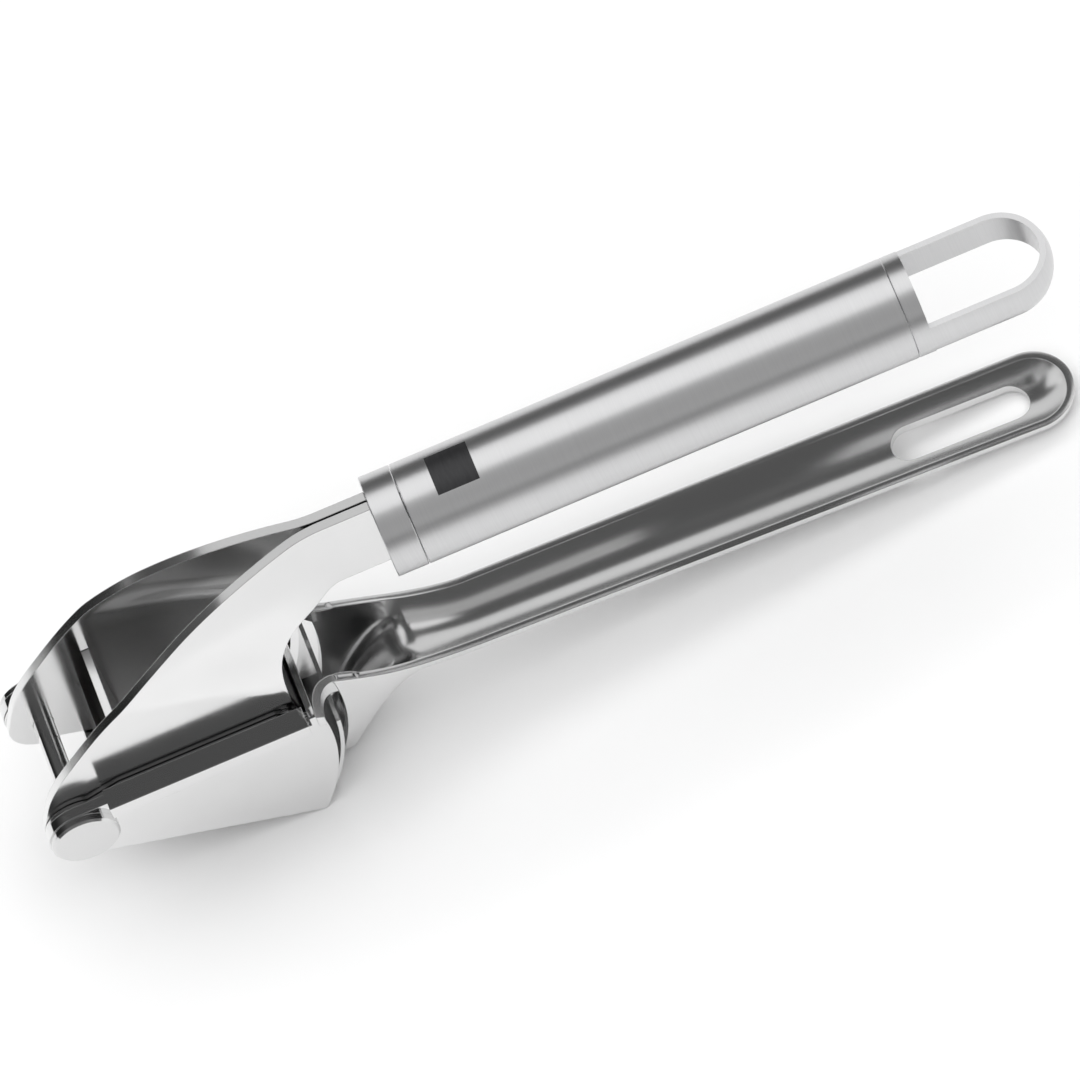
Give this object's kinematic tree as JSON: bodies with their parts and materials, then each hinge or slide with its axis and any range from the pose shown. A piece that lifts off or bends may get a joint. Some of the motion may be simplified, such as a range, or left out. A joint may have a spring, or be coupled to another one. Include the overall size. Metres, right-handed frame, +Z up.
{
  "type": "garlic press",
  "caption": "Two-lever stainless steel garlic press with a round satin tube handle, polished stamped arms and channel handle, and a swing-out perforated sieve insert.",
  "frame": {"origin": "centre of the bounding box at the surface that the press stands on", "axes": "+X from the hopper to the handle ends, +Y to the left side, +Z up; the press is symmetric about Y = 0"},
  "size_m": [0.2078, 0.0346, 0.0668],
  "materials": {
    "polished_steel": "mirror-polished stainless steel",
    "satin_steel": "satin stainless steel",
    "plain_steel": "mill finish, hidden inside the tube",
    "sieve_steel": "bright pressed stainless sheet",
    "dark_inlay": "dark satin inlay, plain"
  },
  "bodies": {
    "lower_lever": {"lower_handle": "polished_steel", "rim_straps": "polished_steel", "left_cheek": "polished_steel", "right_cheek": "polished_steel", "rear_bridge": "polished_steel", "axle_rod": "polished_steel", "left_axle_cap": "polished_steel", "right_axle_cap": "polished_steel"},
    "upper_lever": {"left_arm": "polished_steel", "right_arm": "polished_steel", "plunger_shell": "polished_steel", "plunger_foot": "polished_steel", "front_collar": "satin_steel", "handle_tube": "satin_steel", "badge_inlay": "dark_inlay", "tang_holder": "plain_steel", "tang_pins": "plain_steel", "end_plug": "satin_steel", "hanging_loop": "satin_steel"},
    "sieve_insert": {"left_basket_side": "sieve_steel", "right_basket_side": "sieve_steel", "sieve_plate": "sieve_steel", "basket_front_wall": "sieve_steel", "basket_rear_wall": "sieve_steel", "thumb_lip": "sieve_steel"}
  },
  "joints": [
    {"name": "lever_hinge", "type": "hinge", "parent": "lower_lever", "child": "upper_lever", "pos_m": [-0.09724, 0, 0.02786], "axis": [0, -1, 0], "range_deg": [0, 105]},
    {"name": "insert_hinge", "type": "hinge", "parent": "lower_lever", "child": "sieve_insert", "pos_m": [-0.09724, 0, 0.02786], "axis": [0, 1, 0], "range_deg": [0, 70]}
  ]
}
